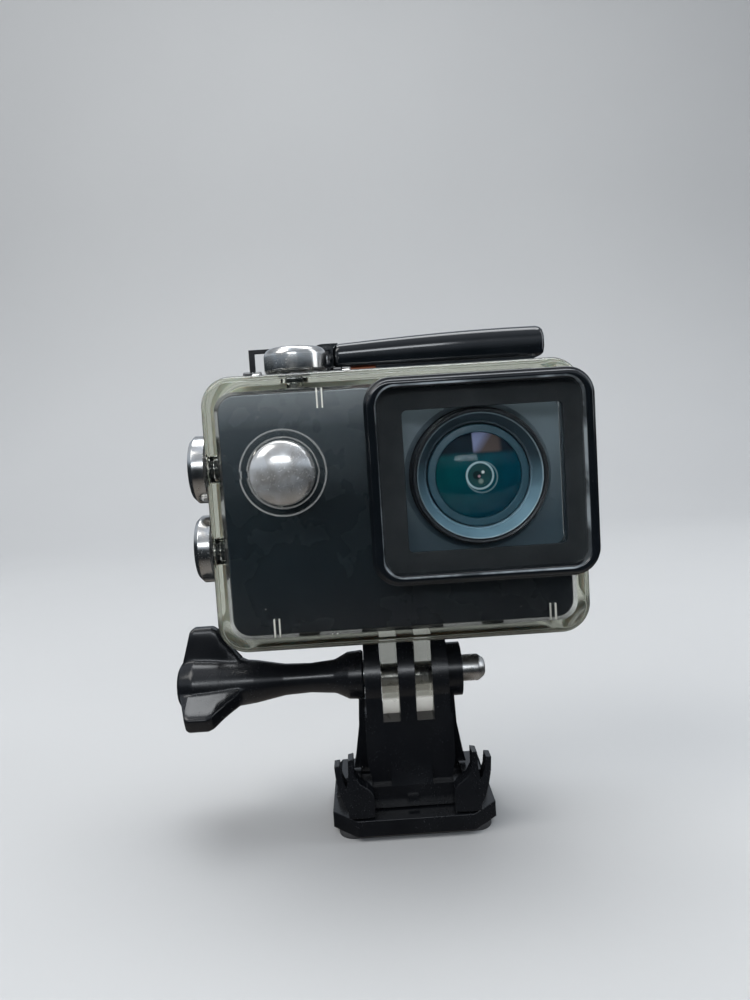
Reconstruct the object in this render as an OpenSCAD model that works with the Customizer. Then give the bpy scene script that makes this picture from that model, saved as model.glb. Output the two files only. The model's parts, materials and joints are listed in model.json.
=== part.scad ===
// Action camera in a clear dive housing, clamped on a quick-release stand.
// Millimetres, +Z up. The lens looks along -Y. The origin is on the resting face of
// the stand, straight below the middle of the clamp screw, which lies along X.

/* [Stand] */
// Height of the clamp screw's axis above the resting face
axis_h = 27; // [27:0.25:28]
// Thickness of the adhesive pad
pad_t = 1; // [0.8:0.1:1]
// Width of the base plate
base_w = 30; // [30:0.5:32]
// How far the base plate reaches in front of the clamp screw
base_front = 12; // [12:0.5:13]
// How far the base plate reaches behind the clamp screw
base_back = 12; // [12:0.5:13]

/* [Clamp] */
// Thickness of a prong or a finger
prong_t = 3; // [2.8:0.05:3]
// Radius of the rounded ends of the prongs and fingers
prong_r = 7.5; // [7:0.1:7.5]
// Diameter of the clamp screw
screw_d = 5; // [4.8:0.1:5]
// Reach of the thumb knob's wings from the screw's axis
wing_r = 11; // [10:0.2:12]

/* [Housing] */
// Outside width of the housing
case_w = 63.6; // [63.6:0.1:64]
// Height of the housing's underside above the screw's axis
case_lift = 9.7; // [9.7:0.1:10]
// Outside height of the housing
case_h = 46.7; // [46.7:0.1:47]
// Thickness of the housing's walls
wall = 2; // [2:0.05:2.1]
// Position of the housing's front face
case_front = -15.8; // [-15.8:0.1:-15.6]

/* [Lens port] */
// Outside width of the black bezel
bezel_w = 37.2; // [36.8:0.1:37.2]
// Outside height of the black bezel
bezel_h = 33.8; // [33.4:0.1:33.8]
// Width of the clear window inside its seal
window_w = 26; // [25:0.5:26]
// Height of the clear window inside its seal
window_h = 23.1; // [22.5:0.1:23.1]

/* [Buttons] */
// Travel of a housing button
button_travel = 1.2; // [1:0.1:1.2]
// Diameter of a button's stem
stem_d = 3; // [2.8:0.1:3]

/* [Hidden] */

$fn = 48;
eps = 0.01;

// Stand
base_t = 3;
base_top = pad_t + base_t;
base_nose = 10.5;
rail_in = 12.05;
rail_out = 13.9;
rail_start = -2;
rail_end = 7;
rail_h = 7.6;
lip_in = 9.6;
lip_z = 6.5;
plate_z0 = base_top + 0.3;
plate_z1 = 6.2;
plate_w = 11.7;
neck_w = 7.6;
neck_z = 8.3;
neck_front = -8.1;
arm_root_y = 8;
plate_back = 10;
arm_t = 1.6;
arm_x = 10.3;
tab_front = -11.8;
tab_back = -8.8;
tower_w = 8.1;
tower_d = 7;
slot_z = axis_h - prong_r - 0.6;

// Clamp
pitch = prong_t + 0.1;
screw_r = screw_d / 2;
bore_r = screw_r + 0.08;
boss_r = 5;
boss_x = 10.6;
nut_flats = 8;
knob_end = -42.8;
knob_face = -7.9;
bolt_tip = 15.3;
wing_angles = [-5, 115, 235];

// Housing
case_z0 = axis_h + case_lift;
case_z1 = case_z0 + case_h;
case_mid = (case_z0 + case_z1) / 2;
case_back = 9;
case_r = 5;
cavity_w = case_w - 2 * wall;
cavity_z0 = case_z0 + wall + 0.05;
cavity_z1 = case_z1 - wall - 0.6;
cavity_r = 3.2;
cavity_front = case_front + wall;
door_front = case_back + 0.3;
door_back = 13.5;
door_floor = 11.5;
hinge_y = 10.6;
hinge_z = case_z0 - 2.5;
hinge_pin_r = 0.8;
knuckle_r = 2;

// Lens port
port_x = 13.7;
port_z = case_z0 + 27.7;
window_x = port_x + 0.5;
window_z = port_z - 0.1;
bezel_front = -22;
pane_front = -21;
pane_back = -19.4;
pane_w = bezel_w - 4.2;
pane_h = bezel_h - 3.2;
seal_back = pane_back + 0.8;

// Latch
pivot_y = 2.4;
pivot_z = case_z1 + 1.2;
ear_r = 1.05;
latch_pin_r = 0.5;
ear_x = [-25.2, -8.3];
ear_t = 1.6;
arm_eye_x = [-26.9, -9.9];
arm_eye_t = 1.4;
hook_y0 = 8;
hook_z0 = case_z1 + 0.5;
hook_z1 = case_z1 + 1.9;
catch_slope = 8;
catch_x0 = -24;
catch_x1 = -9;
lever_x = -12;
lever_z = case_z1 + 4.8;
lever_end = 31;
lever_y0 = 5;
lever_y1 = 12.6;
hub_r = 2.7;
lug_y0 = 9.2;
lug_y1 = 10.9;

// Camera
cam_w = 59.3;
cam_z0 = cavity_z0 + 0.1;
cam_z1 = cavity_z1 - 0.25;
cam_h = cam_z1 - cam_z0;
cam_mid = (cam_z0 + cam_z1) / 2;
cam_front = -13;
cover_front = -12;
cam_split = -1.5;
cam_back = 9.5;
cam_wall = 1.4;
cam_r = 3.2;
lens_x = 13.8;
lens_z = case_z0 + 27.8;

// Buttons: position of the seat on the housing's outer face, and the wall below it
front_seat = [-18.7, case_front, case_z0 + 30.3];
top_seat = [-16.8, 0, case_z1];
upper_seat = [-case_w / 2, -2, case_z0 + 31.3];
lower_seat = [-case_w / 2, -2, case_z0 + 16.6];
top_wall = case_z1 - cavity_z1;
stem_r = stem_d / 2;
clip_pocket = 0.75;
tip_up = 0.05;
key_gap = button_travel * 2 / 3 + 0.05;
key_r = 4;
front_h = 4.9;
top_h = 5.9;
side_h = 4.9;
side_r = 6.2;

// ---------- helpers ----------

// Rectangle with round corners, centred on the origin
module rounded_rect(w, h, r) {
  square([w - 2 * r, h], center = true);
  square([w, h - 2 * r], center = true);
  for (x = [-1, 1], y = [-1, 1])
    translate([x * (w / 2 - r), y * (h / 2 - r)]) circle(r);
}

// Extrudes a flat shape (x, z) between two depths y0 < y1
module along_y(y0, y1, x = 0, z = 0) {
  translate([x, y1, z]) rotate([90, 0, 0]) linear_extrude(height = y1 - y0) children();
}

// Extrudes a flat shape (y, z) between two widths x0 < x1
module along_x(x0, x1, y = 0, z = 0) {
  translate([x0, y, z]) rotate([90, 0, 90]) linear_extrude(height = x1 - x0) children();
}

module rod_x(x0, x1, y, z, r) {
  translate([x0, y, z]) rotate([0, 90, 0]) cylinder(h = x1 - x0, r = r);
}

module rod_y(y0, y1, x, z, r) {
  translate([x, y1, z]) rotate([90, 0, 0]) cylinder(h = y1 - y0, r = r);
}

module block(x0, x1, y0, y1, z0, z1) {
  translate([x0, y0, z0]) cube([x1 - x0, y1 - y0, z1 - z0]);
}

// Turns +Z to the outward direction of each button and moves it to its seat
module at_front() { translate(front_seat) rotate([90, 0, 0]) children(); }
module at_top() { translate(top_seat) children(); }
module at_upper() { translate(upper_seat) rotate([0, -90, 0]) children(); }
module at_lower() { translate(lower_seat) rotate([0, -90, 0]) children(); }

// ---------- stand ----------

module adhesive_pad() {
  color("dimgray")
    translate([0, (base_back - base_front) / 2, 0]) linear_extrude(height = pad_t)
      rounded_rect(base_w - 2, base_back + base_front - 3, 3);
}

module base_plate() {
  color("#15181b") {
    translate([0, 0, pad_t]) linear_extrude(height = base_t)
      polygon([
        [-base_nose, -base_front], [base_nose, -base_front], [base_w / 2, -base_front + 4.5],
        [base_w / 2, base_back - 4.5], [base_nose, base_back], [-base_nose, base_back],
        [-base_w / 2, base_back - 4.5], [-base_w / 2, -base_front + 4.5]
      ]);
    for (s = [-1, 1]) scale([s, 1, 1]) base_rail();
    block(-neck_w, neck_w, plate_back + 0.2, base_back - 0.3, base_top - eps, plate_z0 + 1.2);
  }
}

// One C-shaped rail that holds down a finger of the buckle
module base_rail() {
  translate([0, rail_end, 0]) rotate([90, 0, 0]) linear_extrude(height = rail_end - rail_start)
    polygon([
      [rail_in, base_top - eps], [rail_out + 0.6, base_top - eps], [rail_out, rail_h - 0.6],
      [rail_out - 0.6, rail_h], [lip_in, rail_h], [lip_in, lip_z], [rail_in, lip_z]
    ]);
}

module quick_release_buckle() {
  color("#101214") difference() {
    union() {
      block(-plate_w, plate_w, arm_root_y, plate_back, plate_z0, plate_z1);
      block(-neck_w, neck_w, neck_front, arm_root_y + eps, plate_z0, neck_z);
      block(-1.1, 0.9, neck_front - 0.6, neck_front + eps, plate_z0 + 0.6, plate_z0 + 2.3);
      tower();
      for (i = [-1, 0, 1]) prong(2 * i * pitch);
      rod_x(2 * pitch, boss_x, 0, axis_h, boss_r);
      side_web(axis_h - 2.5);
      scale([-1, 1, 1]) side_web(axis_h - 5.2);
    }
    for (s = [-1, 1]) finger_slot(s * pitch - prong_t / 2 - 0.1, s * pitch + prong_t / 2 + 0.1);
    rod_x(-20, 20, 0, axis_h, bore_r);
    along_x(boss_x - 3, boss_x + 1, 0, axis_h) circle(d = (nut_flats + 0.1) / cos(30), $fn = 6);
  }
}

module prong(x) {
  along_x(x - prong_t / 2, x + prong_t / 2, 0, axis_h) {
    circle(prong_r);
    translate([-tower_d, slot_z - axis_h]) square([2 * tower_d, axis_h - slot_z - 2.6]);
  }
}

// Room for a finger of the housing, shallower in front of the screw's axis
module finger_slot(x0, x1) {
  block(x0, x1, -10, 0, slot_z + 1, axis_h);
  block(x0, x1, -eps, 10, slot_z, axis_h);
  rod_x(x0, x1, 0, axis_h, prong_r + 0.1);
}

// Block under the prongs, narrower at its foot, with a sloping panel on its front
module tower() {
  top = slot_z + 2;
  along_y(-tower_d, tower_d)
    polygon([
      [-7.2, neck_z - eps], [7.2, neck_z - eps], [tower_w, 12.5], [tower_w, top],
      [-tower_w, top], [-tower_w, 12.5]
    ]);
  along_x(-3.9, 3.7)
    polygon([[-6, neck_z - 0.4], [neck_front + 0.05, neck_z - 0.4], [-tower_d, 12.7], [-6, 12.7]]);
}

// Web that braces the side of the tower, from above the rails up to a given height
module side_web(top) {
  along_y(1, 3)
    polygon([[7.6, top], [9.2, top], [9.5, 16], [10.4, 10.4], [10.9, 8.2], [6.8, 8.2]]);
}

// A flexing finger along the rail, its barb in front of the rail, and its forked thumb tab
module release_arm() {
  z0 = plate_z0 + 0.1;
  block(arm_x, arm_x + arm_t, tab_front, arm_root_y - 0.15, z0, plate_z1 - 0.1);
  translate([0, 0, z0]) linear_extrude(height = plate_z1 - 0.1 - z0)
    polygon([[arm_x + 1, -5.5], [rail_in + 1.1, rail_start - 0.2], [arm_x + 1, rail_start - 0.2]]);
  along_y(tab_front, tab_back)
    polygon([
      [8.8, z0], [10.6, z0], [11.6, 5.1], [12.6, 6.8], [13.3, 9], [13.8, 11.5], [14, 14.2],
      [13, 14.3], [12.75, 12.2], [12, 9.8], [11.6, 12], [11.5, 15.2], [10.5, 15.4],
      [10.5, 12.3], [9.6, 10.7], [7.9, 9.5], [7.2, 8.3], [7.2, 4.6]
    ]);
}

module release_arm_left() { color("#101214") scale([-1, 1, 1]) release_arm(); }
module release_arm_right() { color("#101214") release_arm(); }

// ---------- clamp ----------

module clamp_nut() {
  color("silver") difference() {
    along_x(boss_x - 2.95, boss_x - 0.15, 0, axis_h) circle(d = nut_flats / cos(30), $fn = 6);
    rod_x(0, 20, 0, axis_h, screw_r + 0.05);
  }
}

module thumb_knob() {
  color("#101214") difference() {
    union() {
      translate([0, 0, axis_h]) rotate([0, 90, 0]) rotate_extrude()
        polygon([
          [0, knob_end + 0.6], [4.6, knob_end + 0.6], [5.4, knob_end + 3], [4.8, -35], [4.4, -31.9],
          [4, -28.4], [2.9, -22.9], [2.65, -18], [3.1, -13.3], [4.4, -10.8], [4.6, knob_face],
          [0, knob_face]
        ]);
      for (a = wing_angles) translate([0, 0, axis_h]) rotate([a, 0, 0]) knob_wing();
    }
    rod_x(-13, 0, 0, axis_h, 1.8);
  }
}

// One wing of the knob, standing along +Z
module knob_wing() {
  along_y(-1.9, 1.9)
    polygon([
      [-30.5, 2], [-31.1, 4.9], [-33.4, 7.6], [-35.3, wing_r - 0.4], [-36.1, wing_r],
      [-39.6, wing_r], [-40.3, wing_r - 0.4], [-42.3, 3.6], [knob_end, 2], [knob_end, -1], [-30.5, -1]
    ]);
}

module thumb_bolt() {
  color("silver") {
    rod_x(-13, knob_face + eps, 0, axis_h, 1.8);
    translate([0, 0, axis_h]) rotate([0, 90, 0]) rotate_extrude() {
      translate([0, knob_face]) square([screw_r, bolt_tip - 1.2 - knob_face]);
      square([screw_r - 1.2, bolt_tip]);
      translate([screw_r - 1.2, bolt_tip - 1.2]) circle(1.2);
    }
  }
}

// ---------- housing ----------

module front_shell() {
  color([0.9, 0.92, 0.88, 0.35]) {
    difference() {
      union() {
        along_y(case_front, case_back, 0, case_mid) rounded_rect(case_w, case_h, case_r);
        for (s = [-1, 1]) finger(s * pitch);
        at_front() difference() { cylinder(h = 1.7, r = 7.25); cylinder(h = 5, r = 5.75); }
        at_top() difference() { cylinder(h = 1.1, r = 6.4); cylinder(h = 5, r = 6.05); }
        for (x = ear_x) latch_ear(x);
        for (s = [-1, 1]) hinge_lug(s * 18.1);
      }
      along_y(cavity_front, case_back + 1, 0, (cavity_z0 + cavity_z1) / 2)
        rounded_rect(cavity_w, cavity_z1 - cavity_z0, cavity_r);
      along_y(case_front - 1, cavity_front + 1, window_x, window_z)
        rounded_rect(window_w + 1.4, window_h + 1.4, 1.5);
      rod_x(-20, 20, 0, axis_h, bore_r);
      for (x = ear_x) rod_x(x - 1, x + ear_t + 1, pivot_y, pivot_z, latch_pin_r + 0.01);
      for (s = [-1, 1])
        rod_x(s * 18.1 - 3, s * 18.1 + 3, hinge_y, hinge_z, hinge_pin_r + 0.01);
      at_front() stem_hole(wall);
      at_top() stem_hole(top_wall);
      at_upper() stem_hole(wall);
      at_lower() stem_hole(wall);
      for (s = [-1, 1]) at_front() rotate([0, 0, s * 90]) translate([-0.6, 5, 0.5]) cube([1.2, 4, 3]);
    }
    inner_ribs();
  }
}

module finger(x) {
  along_x(x - prong_t / 2, x + prong_t / 2, 0, axis_h) {
    circle(prong_r);
    translate([-prong_r, 0]) square([2 * prong_r, case_lift + 0.5]);
  }
}

module latch_ear(x) {
  along_x(x, x + ear_t, pivot_y, pivot_z) {
    circle(ear_r);
    translate([-ear_r, case_z1 - pivot_z - 0.5]) square([2 * ear_r, pivot_z - case_z1 + 0.5]);
  }
}

module hinge_lug(x) {
  along_x(x - 1.9, x + 1.9, hinge_y, hinge_z) {
    circle(knuckle_r);
    translate([4 - hinge_y, -knuckle_r]) square([hinge_y - 4, 2 * knuckle_r]);
    translate([4 - hinge_y, 0]) square([case_back - 4, 3]);
  }
}

// The bore of a button's stem, the seat of its seal ring and the pocket for its clip
module stem_hole(w) {
  translate([0, 0, -w - 1]) cylinder(h = w + 3, r = stem_r + 0.05);
  translate([0, 0, -0.9]) cylinder(h = 2, r = 2.5);
  translate([0, 0, -w - 1]) cylinder(h = 1 + clip_pocket, r = 3);
}

// Short moulded ribs on the inside of the front wall
module inner_ribs() {
  for (r = [[-12.1, cavity_z1 - 3.4, cavity_z1 + 0.2], [-21.9, cavity_z0 - 0.2, cavity_z0 + 3.2],
            [25.6, cavity_z0 - 0.2, cavity_z0 + 2.9]])
    block(r[0] - 0.55, r[0] + 0.55, cavity_front - 0.2, cavity_front + 0.65, r[1], r[2]);
}

module lens_bezel() {
  color("#0b0e11") difference() {
    union() {
      along_y(bezel_front, case_front - 0.05, port_x, port_z)
        rounded_rect(bezel_w - 1, bezel_h - 1, 4);
      along_y(bezel_front + 1.2, case_front - 0.05, port_x, port_z)
        rounded_rect(bezel_w, bezel_h, 4.5);
    }
    along_y(bezel_front - 1, seal_back, port_x, port_z)
      rounded_rect(pane_w + 0.2, pane_h + 0.2, 3.1);
    along_y(bezel_front - 1, 0, window_x, window_z)
      rounded_rect(window_w + 1, window_h + 1, 1.2);
  }
}

module lens_window() {
  color([0.6, 0.75, 0.8, 0.3])
    along_y(pane_front, pane_back, port_x, port_z) rounded_rect(pane_w, pane_h, 3);
}

module window_seal() {
  color("#111111") difference() {
    along_y(pane_back, seal_back, port_x, port_z) rounded_rect(pane_w, pane_h, 3);
    along_y(pane_back - 1, seal_back + 1, window_x, window_z) rounded_rect(window_w, window_h, 0.8);
  }
}

module rear_door() {
  color([0.9, 0.92, 0.88, 0.35]) difference() {
    union() {
      along_y(door_front, door_back, 0, case_mid) rounded_rect(case_w, case_h, case_r);
      along_x(catch_x0, catch_x1) door_catch();
      for (s = [-1, 1]) door_knuckle(s * 14);
    }
    difference() {
      along_y(door_front - 1, door_floor, 0, (cavity_z0 + cavity_z1) / 2)
        rounded_rect(cavity_w, cavity_z1 - cavity_z0, cavity_r);
      for (s = [-1, 1]) block(s * 22 - 1, s * 22 + 1, cam_back + 0.2, door_back, 44, 76);
    }
    along_y(door_front - 1, door_front + 1, 0, case_mid) gasket_ring();
    for (s = [-1, 1]) rod_x(s * 14 - 3, s * 14 + 3, hinge_y, hinge_z, hinge_pin_r + 0.06);
  }
}

// Ramp on top of the door that the latch hook presses on
module door_catch() {
  y0 = door_front + 0.9;
  drop = (door_back - y0) * tan(catch_slope);
  polygon([
    [y0, case_z1 - 1], [y0, case_z1 + 1.2], [door_back, case_z1 + 1.2 - drop],
    [door_back, case_z1 - 1]
  ]);
}

module door_knuckle(x) {
  along_x(x - 1.9, x + 1.9, hinge_y, hinge_z) {
    circle(knuckle_r);
    translate([-1.2, 0]) square([3.2, case_z0 + 1 - hinge_z]);
  }
}

module gasket_ring() {
  difference() {
    rounded_rect(case_w - 1, case_h - 1, case_r - 0.5);
    rounded_rect(case_w - 3, case_h - 3, case_r - 1.5);
  }
}

module door_gasket() {
  color("#c8c4b8") along_y(case_back + 0.02, door_front + 1, 0, case_mid) gasket_ring();
}

module hinge_pins() {
  color("silver") for (s = [-1, 1]) rod_x(s * 16.05 - 4.2, s * 16.05 + 4.2, hinge_y, hinge_z, hinge_pin_r);
}

module latch_pins() {
  color("silver") {
    rod_x(arm_eye_x[0] - 0.2, ear_x[0] + ear_t, pivot_y, pivot_z, latch_pin_r);
    rod_x(arm_eye_x[1] - 0.2, ear_x[1] + ear_t, pivot_y, pivot_z, latch_pin_r);
  }
}

// ---------- latch ----------

module latch_hook() {
  color("#101214") difference() {
    union() {
      for (x = arm_eye_x) along_x(x, x + arm_eye_t) {
        translate([pivot_y, pivot_z]) circle(ear_r);
        translate([pivot_y, hook_z0]) square([hook_y0 - pivot_y + 1, hook_z1 - hook_z0]);
      }
      block(arm_eye_x[0], arm_eye_x[1] + arm_eye_t, hook_y0, 10, hook_z0, hook_z1);
      along_x(catch_x0, catch_x1 - 0.5) hook_lip();
      hook_arch();
      lever_lug();
    }
    for (x = arm_eye_x) rod_x(x - 1, x + arm_eye_t + 1, pivot_y, pivot_z, latch_pin_r + 0.06);
    rod_y(hook_y0, lever_y1, lever_x, lever_z, 0.81);
  }
}

// Rear lip, with an underside that follows the door's ramp
module hook_lip() {
  y0 = door_front + 0.9;
  z0 = case_z1 + 1.3;
  drop = (14.2 - y0) * tan(catch_slope);
  polygon([[9.9, z0], [y0, z0], [14.2, z0 - drop], [14.6, z0 - drop + 0.5], [14, z0 + 0.3],
           [13, z0 + 0.65], [9.9, z0 + 0.65]]);
}

// Raised loop behind the top button that guards it
module hook_arch() {
  top = case_z1 + 7.1;
  block(-26.5, -25.5, hook_y0, 9.4, hook_z1 - eps, top);
  block(-18, -16.7, hook_y0, 9.4, hook_z1 - eps, top);
  block(-26.5, -16.7, hook_y0, 9.4, top - 0.7, top);
}

module lever_lug() {
  along_y(lug_y0, lug_y1) {
    translate([lever_x, lever_z]) circle(2.1);
    translate([lever_x - 2.1, hook_z1 - 0.5]) square([4.2, lever_z - hook_z1 + 0.5]);
  }
}

module lever_pin() {
  color("silver") rod_y(hook_y0 + 0.2, lever_y1 - 0.2, lever_x, lever_z, 0.8);
}

// Long flip-up lever with a gently arched top
module latch_lever() {
  color("#0c0f12") difference() {
    union() {
      rod_y(hook_y0 + 0.1, lever_y1, lever_x, lever_z, hub_r);
      along_y(hook_y0 + 0.1, lever_y1) lever_neck();
      along_y(lever_y0, lever_y1) lever_profile();
    }
    along_y(lug_y0 - 0.1, lug_y1 + 0.1) {
      translate([lever_x, lever_z]) circle(2.9);
      translate([lever_x - 4, lever_z - 4]) square([7, 4]);
    }
    rod_y(hook_y0 - 1, lever_y1 + 1, lever_x, lever_z, 0.86);
  }
}

module lever_neck() {
  translate([lever_x, lever_z - 2]) square([3, hub_r + 2]);
}

function lever_top(t) = lever_z + 2.3 + 1.4 * sin(t * 105);

module lever_profile() {
  x0 = -9.9;
  span = lever_end - x0;
  steps = 16;
  polygon(concat(
    [[x0, lever_z - 1.9], [x0 + 0.6, lever_z - 2.3], [lever_end - 0.7, lever_z - 2.4],
     [lever_end, lever_z - 1.7], [lever_end, lever_top(1) - 1]],
    [for (i = [0 : steps]) let (t = 1 - i / steps) [x0 + 0.4 + (span - 1.2) * t, lever_top(t)]],
    [[x0, lever_top(0) - 0.5]]
  ));
}

// Sliding lock tab under the lever
module latch_lock() {
  color("#b4532a") block(-8.2, -1.8, lever_y0 + 0.6, 9, case_z1 + 0.4, lever_z - 2.45);
}

// ---------- buttons (drawn along +Z, with the seat at z = 0) ----------

// Cap and stem above a wall of thickness w: cap radius r, height h, either domed or
// flat with its edge rounded by round_r
module turned_button(w, r, h, round_r, dome) {
  tip = -w + tip_up;
  groove0 = -w + 0.28;
  groove1 = -w + 0.72;
  rotate_extrude() difference() {
    union() {
      translate([0, tip]) square([stem_r, h - 1 - tip]);
      if (dome)
        intersection() {
          translate([0, h - 8.2]) circle(8.2, $fn = 96);
          translate([0, button_travel + 0.2]) square([r, h]);
        }
      else {
        translate([0, button_travel + 0.2]) square([r, h - round_r - button_travel - 0.2]);
        translate([0, button_travel + 0.2]) square([r - round_r, h - button_travel - 0.2]);
        translate([r - round_r, h - round_r]) circle(round_r);
      }
    }
    translate([stem_r, button_travel]) square([r - stem_r - 0.8, h - button_travel - 1.6]);
    translate([stem_r - 0.3, groove0]) square([1, groove1 - groove0]);
    translate([-30, -30]) square([30, 60]);
  }
}

// Snap ring in the stem's groove
module snap_ring(w) {
  translate([0, 0, -w + 0.3]) linear_extrude(height = 0.4) difference() {
    circle(2.5);
    circle(stem_r - 0.28);
    translate([-0.6, 0]) square([1.2, 4]);
  }
}

module seal_ring() {
  rotate_extrude() translate([stem_r + 0.5, -0.46]) circle(0.42, $fn = 24);
}

// Helix of round wire from z0 to z1: mean radius r, wire radius t
module coil(z0, z1, r, t, turns) {
  steps = 14 * turns;
  sides = 6;
  function ring(i) = [for (j = [0 : sides - 1])
    let (a = 360 * turns * i / steps, b = 360 * j / sides, q = r + t * cos(b))
      [q * cos(a), q * sin(a), z0 + t + (z1 - z0 - 2 * t) * i / steps + t * sin(b)]];
  polyhedron(
    points = [for (i = [0 : steps]) each ring(i)],
    faces = concat(
      [[for (j = [0 : sides - 1]) sides - 1 - j]],
      [for (i = [0 : steps - 1], j = [0 : sides - 1])
        let (a = i * sides + j, b = i * sides + (j + 1) % sides) [a, b, b + sides, a + sides]],
      [[for (j = [0 : sides - 1]) steps * sides + j]]
    )
  );
}

module button_spring(top) { color("silver") coil(0.05, top, 3.1, 0.25, 3); }

module front_button() { color("#c9ccd0") at_front() turned_button(wall, 5.4, front_h, 1, true); }
module top_button() { color("#c9ccd0") at_top() turned_button(top_wall, 5.8, top_h, 2, false); }
module upper_side_button() { color("#c9ccd0") at_upper() turned_button(wall, side_r, side_h, 0.8, false); }
module lower_side_button() { color("#c9ccd0") at_lower() turned_button(wall, side_r, side_h, 0.8, false); }
module front_button_spring() { at_front() button_spring(front_h - 1.65); }
module top_button_spring() { at_top() button_spring(top_h - 1.65); }
module upper_side_button_spring() { at_upper() button_spring(side_h - 1.65); }
module lower_side_button_spring() { at_lower() button_spring(side_h - 1.65); }
module front_button_clip() { color("silver") at_front() snap_ring(wall); }
module top_button_clip() { color("silver") at_top() snap_ring(top_wall); }
module upper_side_button_clip() { color("silver") at_upper() snap_ring(wall); }
module lower_side_button_clip() { color("silver") at_lower() snap_ring(wall); }

module button_o_rings() {
  color("#222222") {
    at_front() seal_ring();
    at_top() seal_ring();
    at_upper() seal_ring();
    at_lower() seal_ring();
  }
}

// ---------- camera ----------

// Hole through a cover for a key
module key_hole() { translate([0, 0, -12]) cylinder(h = 12, r = key_r + 0.15); }

module camera_shape(y0, y1, inset) {
  along_y(y0, y1, 0, cam_mid)
    rounded_rect(cam_w - 2 * inset, cam_h - 2 * inset, cam_r - min(inset, 1.4));
}

module camera_front_cover() {
  color("#1a1d20") difference() {
    camera_shape(cover_front, cam_split, 0);
    camera_shape(cover_front + 1.2, cam_split + 1, cam_wall);
    rod_y(cam_front - 1, cover_front + 5, lens_x, lens_z, 11);
    at_front() key_hole();
    at_top() key_hole();
    at_upper() key_hole();
    at_lower() key_hole();
  }
}

module camera_rear_cover() {
  color("#1a1d20") difference() {
    camera_shape(cam_split + 0.05, cam_back, 0);
    camera_shape(cam_split - 1, cam_back - 1.2, cam_wall);
    block(-18.1, 18.1, 0, cam_back + 1, cam_mid - 14.6, cam_mid + 14.6);
    block(-27.1, 7.1, -1, 8.2, cam_z0 - 1, cam_z0 + 2);
    at_top() key_hole();
    at_upper() key_hole();
    at_lower() key_hole();
    for (x = [-1, 1], z = [-1, 1]) rod_y(0, cam_back + 1, x * 26.6, cam_mid + z * 17.8, 0.85);
  }
}

module camera_faceplate() {
  color("#141c24") along_y(cam_front, cover_front - 0.02, 0, cam_mid) difference() {
    rounded_rect(cam_w - 0.6, cam_h - 0.6, cam_r - 0.3);
    translate([lens_x, lens_z - cam_mid]) circle(11.6);
    translate([front_seat[0], front_seat[2] - cam_mid]) circle(key_r + 0.15);
  }
}

// Grey frame with a bevelled round opening
module lens_surround() {
  color("#6f7678") difference() {
    along_y(cam_front - 0.6, cam_front - 0.02, lens_x + 0.6, lens_z - 0.2) rounded_rect(29, 26, 2);
    translate([lens_x, cam_front - 0.61, lens_z]) rotate([-90, 0, 0])
      cylinder(h = 0.6, r1 = 12.5, r2 = 11.6);
  }
}

// Turned ring about the lens axis, given as (radius, depth) points
module lathe_y(points) {
  translate([lens_x, 0, lens_z]) rotate([-90, 0, 0]) rotate_extrude() polygon(points);
}

module lens_housing() {
  color("#15181b") lathe_y([
    [10.6, -16.6], [10.6, -17.2], [11, -17.4], [11.4, -17.1], [11.4, cover_front - 0.05],
    [10.9, cover_front - 0.05], [10.9, -9.8], [9.2, -9.8], [9.2, -14.5]
  ]);
}

module lens_trim_ring() {
  color("silver") lathe_y([[8.7, -14.4], [10.5, -17], [10.5, -16.7], [9.1, -14.6], [9.1, -13], [8.7, -13]]);
}

module lens_retainer() {
  color("#4a4f52") lathe_y([[7.3, -15], [8.6, -14.8], [8.6, -10], [7.3, -10]]);
}

module lens_front_element() {
  color("#0e5560") translate([lens_x, 0, lens_z]) rotate([90, 0, 0]) rotate_extrude()
    intersection() {
      translate([0, 16.4 - 16]) circle(16, $fn = 96);
      translate([0, 11.5]) square([7.2, 8]);
    }
}

module lens_barrel() {
  color("#1b1b1b") lathe_y([[6, -11.4], [7.1, -11.4], [7.1, -5.2], [4.2, -5.2], [4.2, -6.4], [6, -6.4]]);
}

module lens_rear_element() {
  color("#88a0aa") rod_y(-9, -6.5, lens_x, lens_z, 5.9);
}

module image_sensor() {
  color("#2a3a30") block(lens_x - 3.6, lens_x + 3.6, -5.1, -4.3, lens_z - 3.2, lens_z + 3.2);
}

module sensor_board() {
  color("#1d4a2c") block(lens_x - 9, lens_x + 9, -4.25, -3.45, lens_z - 8, lens_z + 8);
}

module main_board() {
  color("#1d4a2c") block(-24, 25, -3.4, -2.4, cam_z0 + 4, cam_z1 - 7);
}

module battery() { color("#d0d0c8") block(-26.4, 6.4, -2, 7.8, cam_z0 + 2, cam_z0 + 31); }
module battery_door() { color("#1a1d20") block(-27, 7, -0.9, 8.1, cam_z0, cam_z0 + 1.3); }

module display_panel() {
  color("#30343a") block(-17.6, 17.6, 7.9, 8.75, cam_mid - 14.2, cam_mid + 14.2);
}

module display_glass() {
  color("#08090b") block(-18, 18, 8.8, cam_back, cam_mid - 14.5, cam_mid + 14.5);
}

module speaker() {
  color("#3a3a3a") rod_y(-2.35, 1, 17, cam_z0 + 10, 5);
}

module memory_card() {
  color("#202020") block(10, 25, -2.3, -1.4, cam_z0 + 20, cam_z0 + 31);
}

module camera_screws() {
  color("silver") for (x = [-1, 1], z = [-1, 1])
    rod_y(8.4, cam_back - 0.1, x * 26.6, cam_mid + z * 17.8, 0.8);
}

// Key in the camera's cover: its top is key_gap below the button's stem
module camera_key(w, depth) {
  top = -w + tip_up - key_gap;
  translate([0, 0, top - depth]) {
    cylinder(h = depth, r = key_r);
    cylinder(h = 0.5, r = key_r + 0.8);
  }
}

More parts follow.
